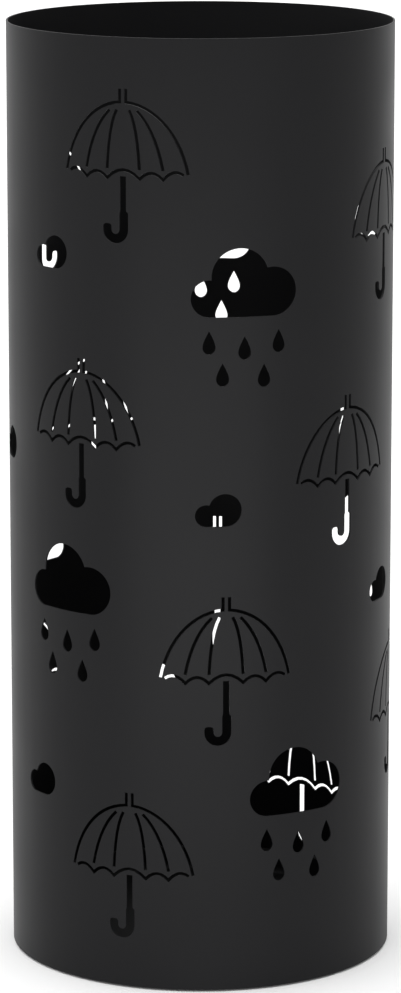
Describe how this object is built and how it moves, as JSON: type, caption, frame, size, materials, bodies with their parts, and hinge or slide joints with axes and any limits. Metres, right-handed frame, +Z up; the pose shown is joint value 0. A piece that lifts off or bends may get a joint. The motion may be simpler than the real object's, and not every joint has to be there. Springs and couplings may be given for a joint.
{
  "type": "umbrella stand",
  "caption": "Round open-topped umbrella stand in laser-cut sheet steel, with umbrella, cloud and raindrop cut-outs, a welded-in base and a lift-out drip tray.",
  "frame": {"origin": "centre of the underside, on the tube's axis, at the level of the foot pads' undersides", "axes": "+Z up along the tube, the front faces -Y, +X to the right seen from the front"},
  "size_m": [0.2, 0.2, 0.49],
  "materials": {
    "powder_coat": "satin",
    "tray_plastic": "matte",
    "pad_rubber": "matte"
  },
  "bodies": {
    "stand": {"tube": "powder_coat", "seam_weld": "powder_coat", "base_plate": "powder_coat", "base_welds": "powder_coat", "foot_pad_1": "pad_rubber", "foot_pad_2": "pad_rubber", "foot_pad_3": "pad_rubber", "foot_pad_4": "pad_rubber"},
    "tray": {"drip_tray": "tray_plastic"}
  },
  "joints": [
    {"name": "tray_lift", "type": "slide", "parent": "stand", "child": "tray", "axis": [0, 0, 1], "range_m": [0, 0.49]}
  ]
}
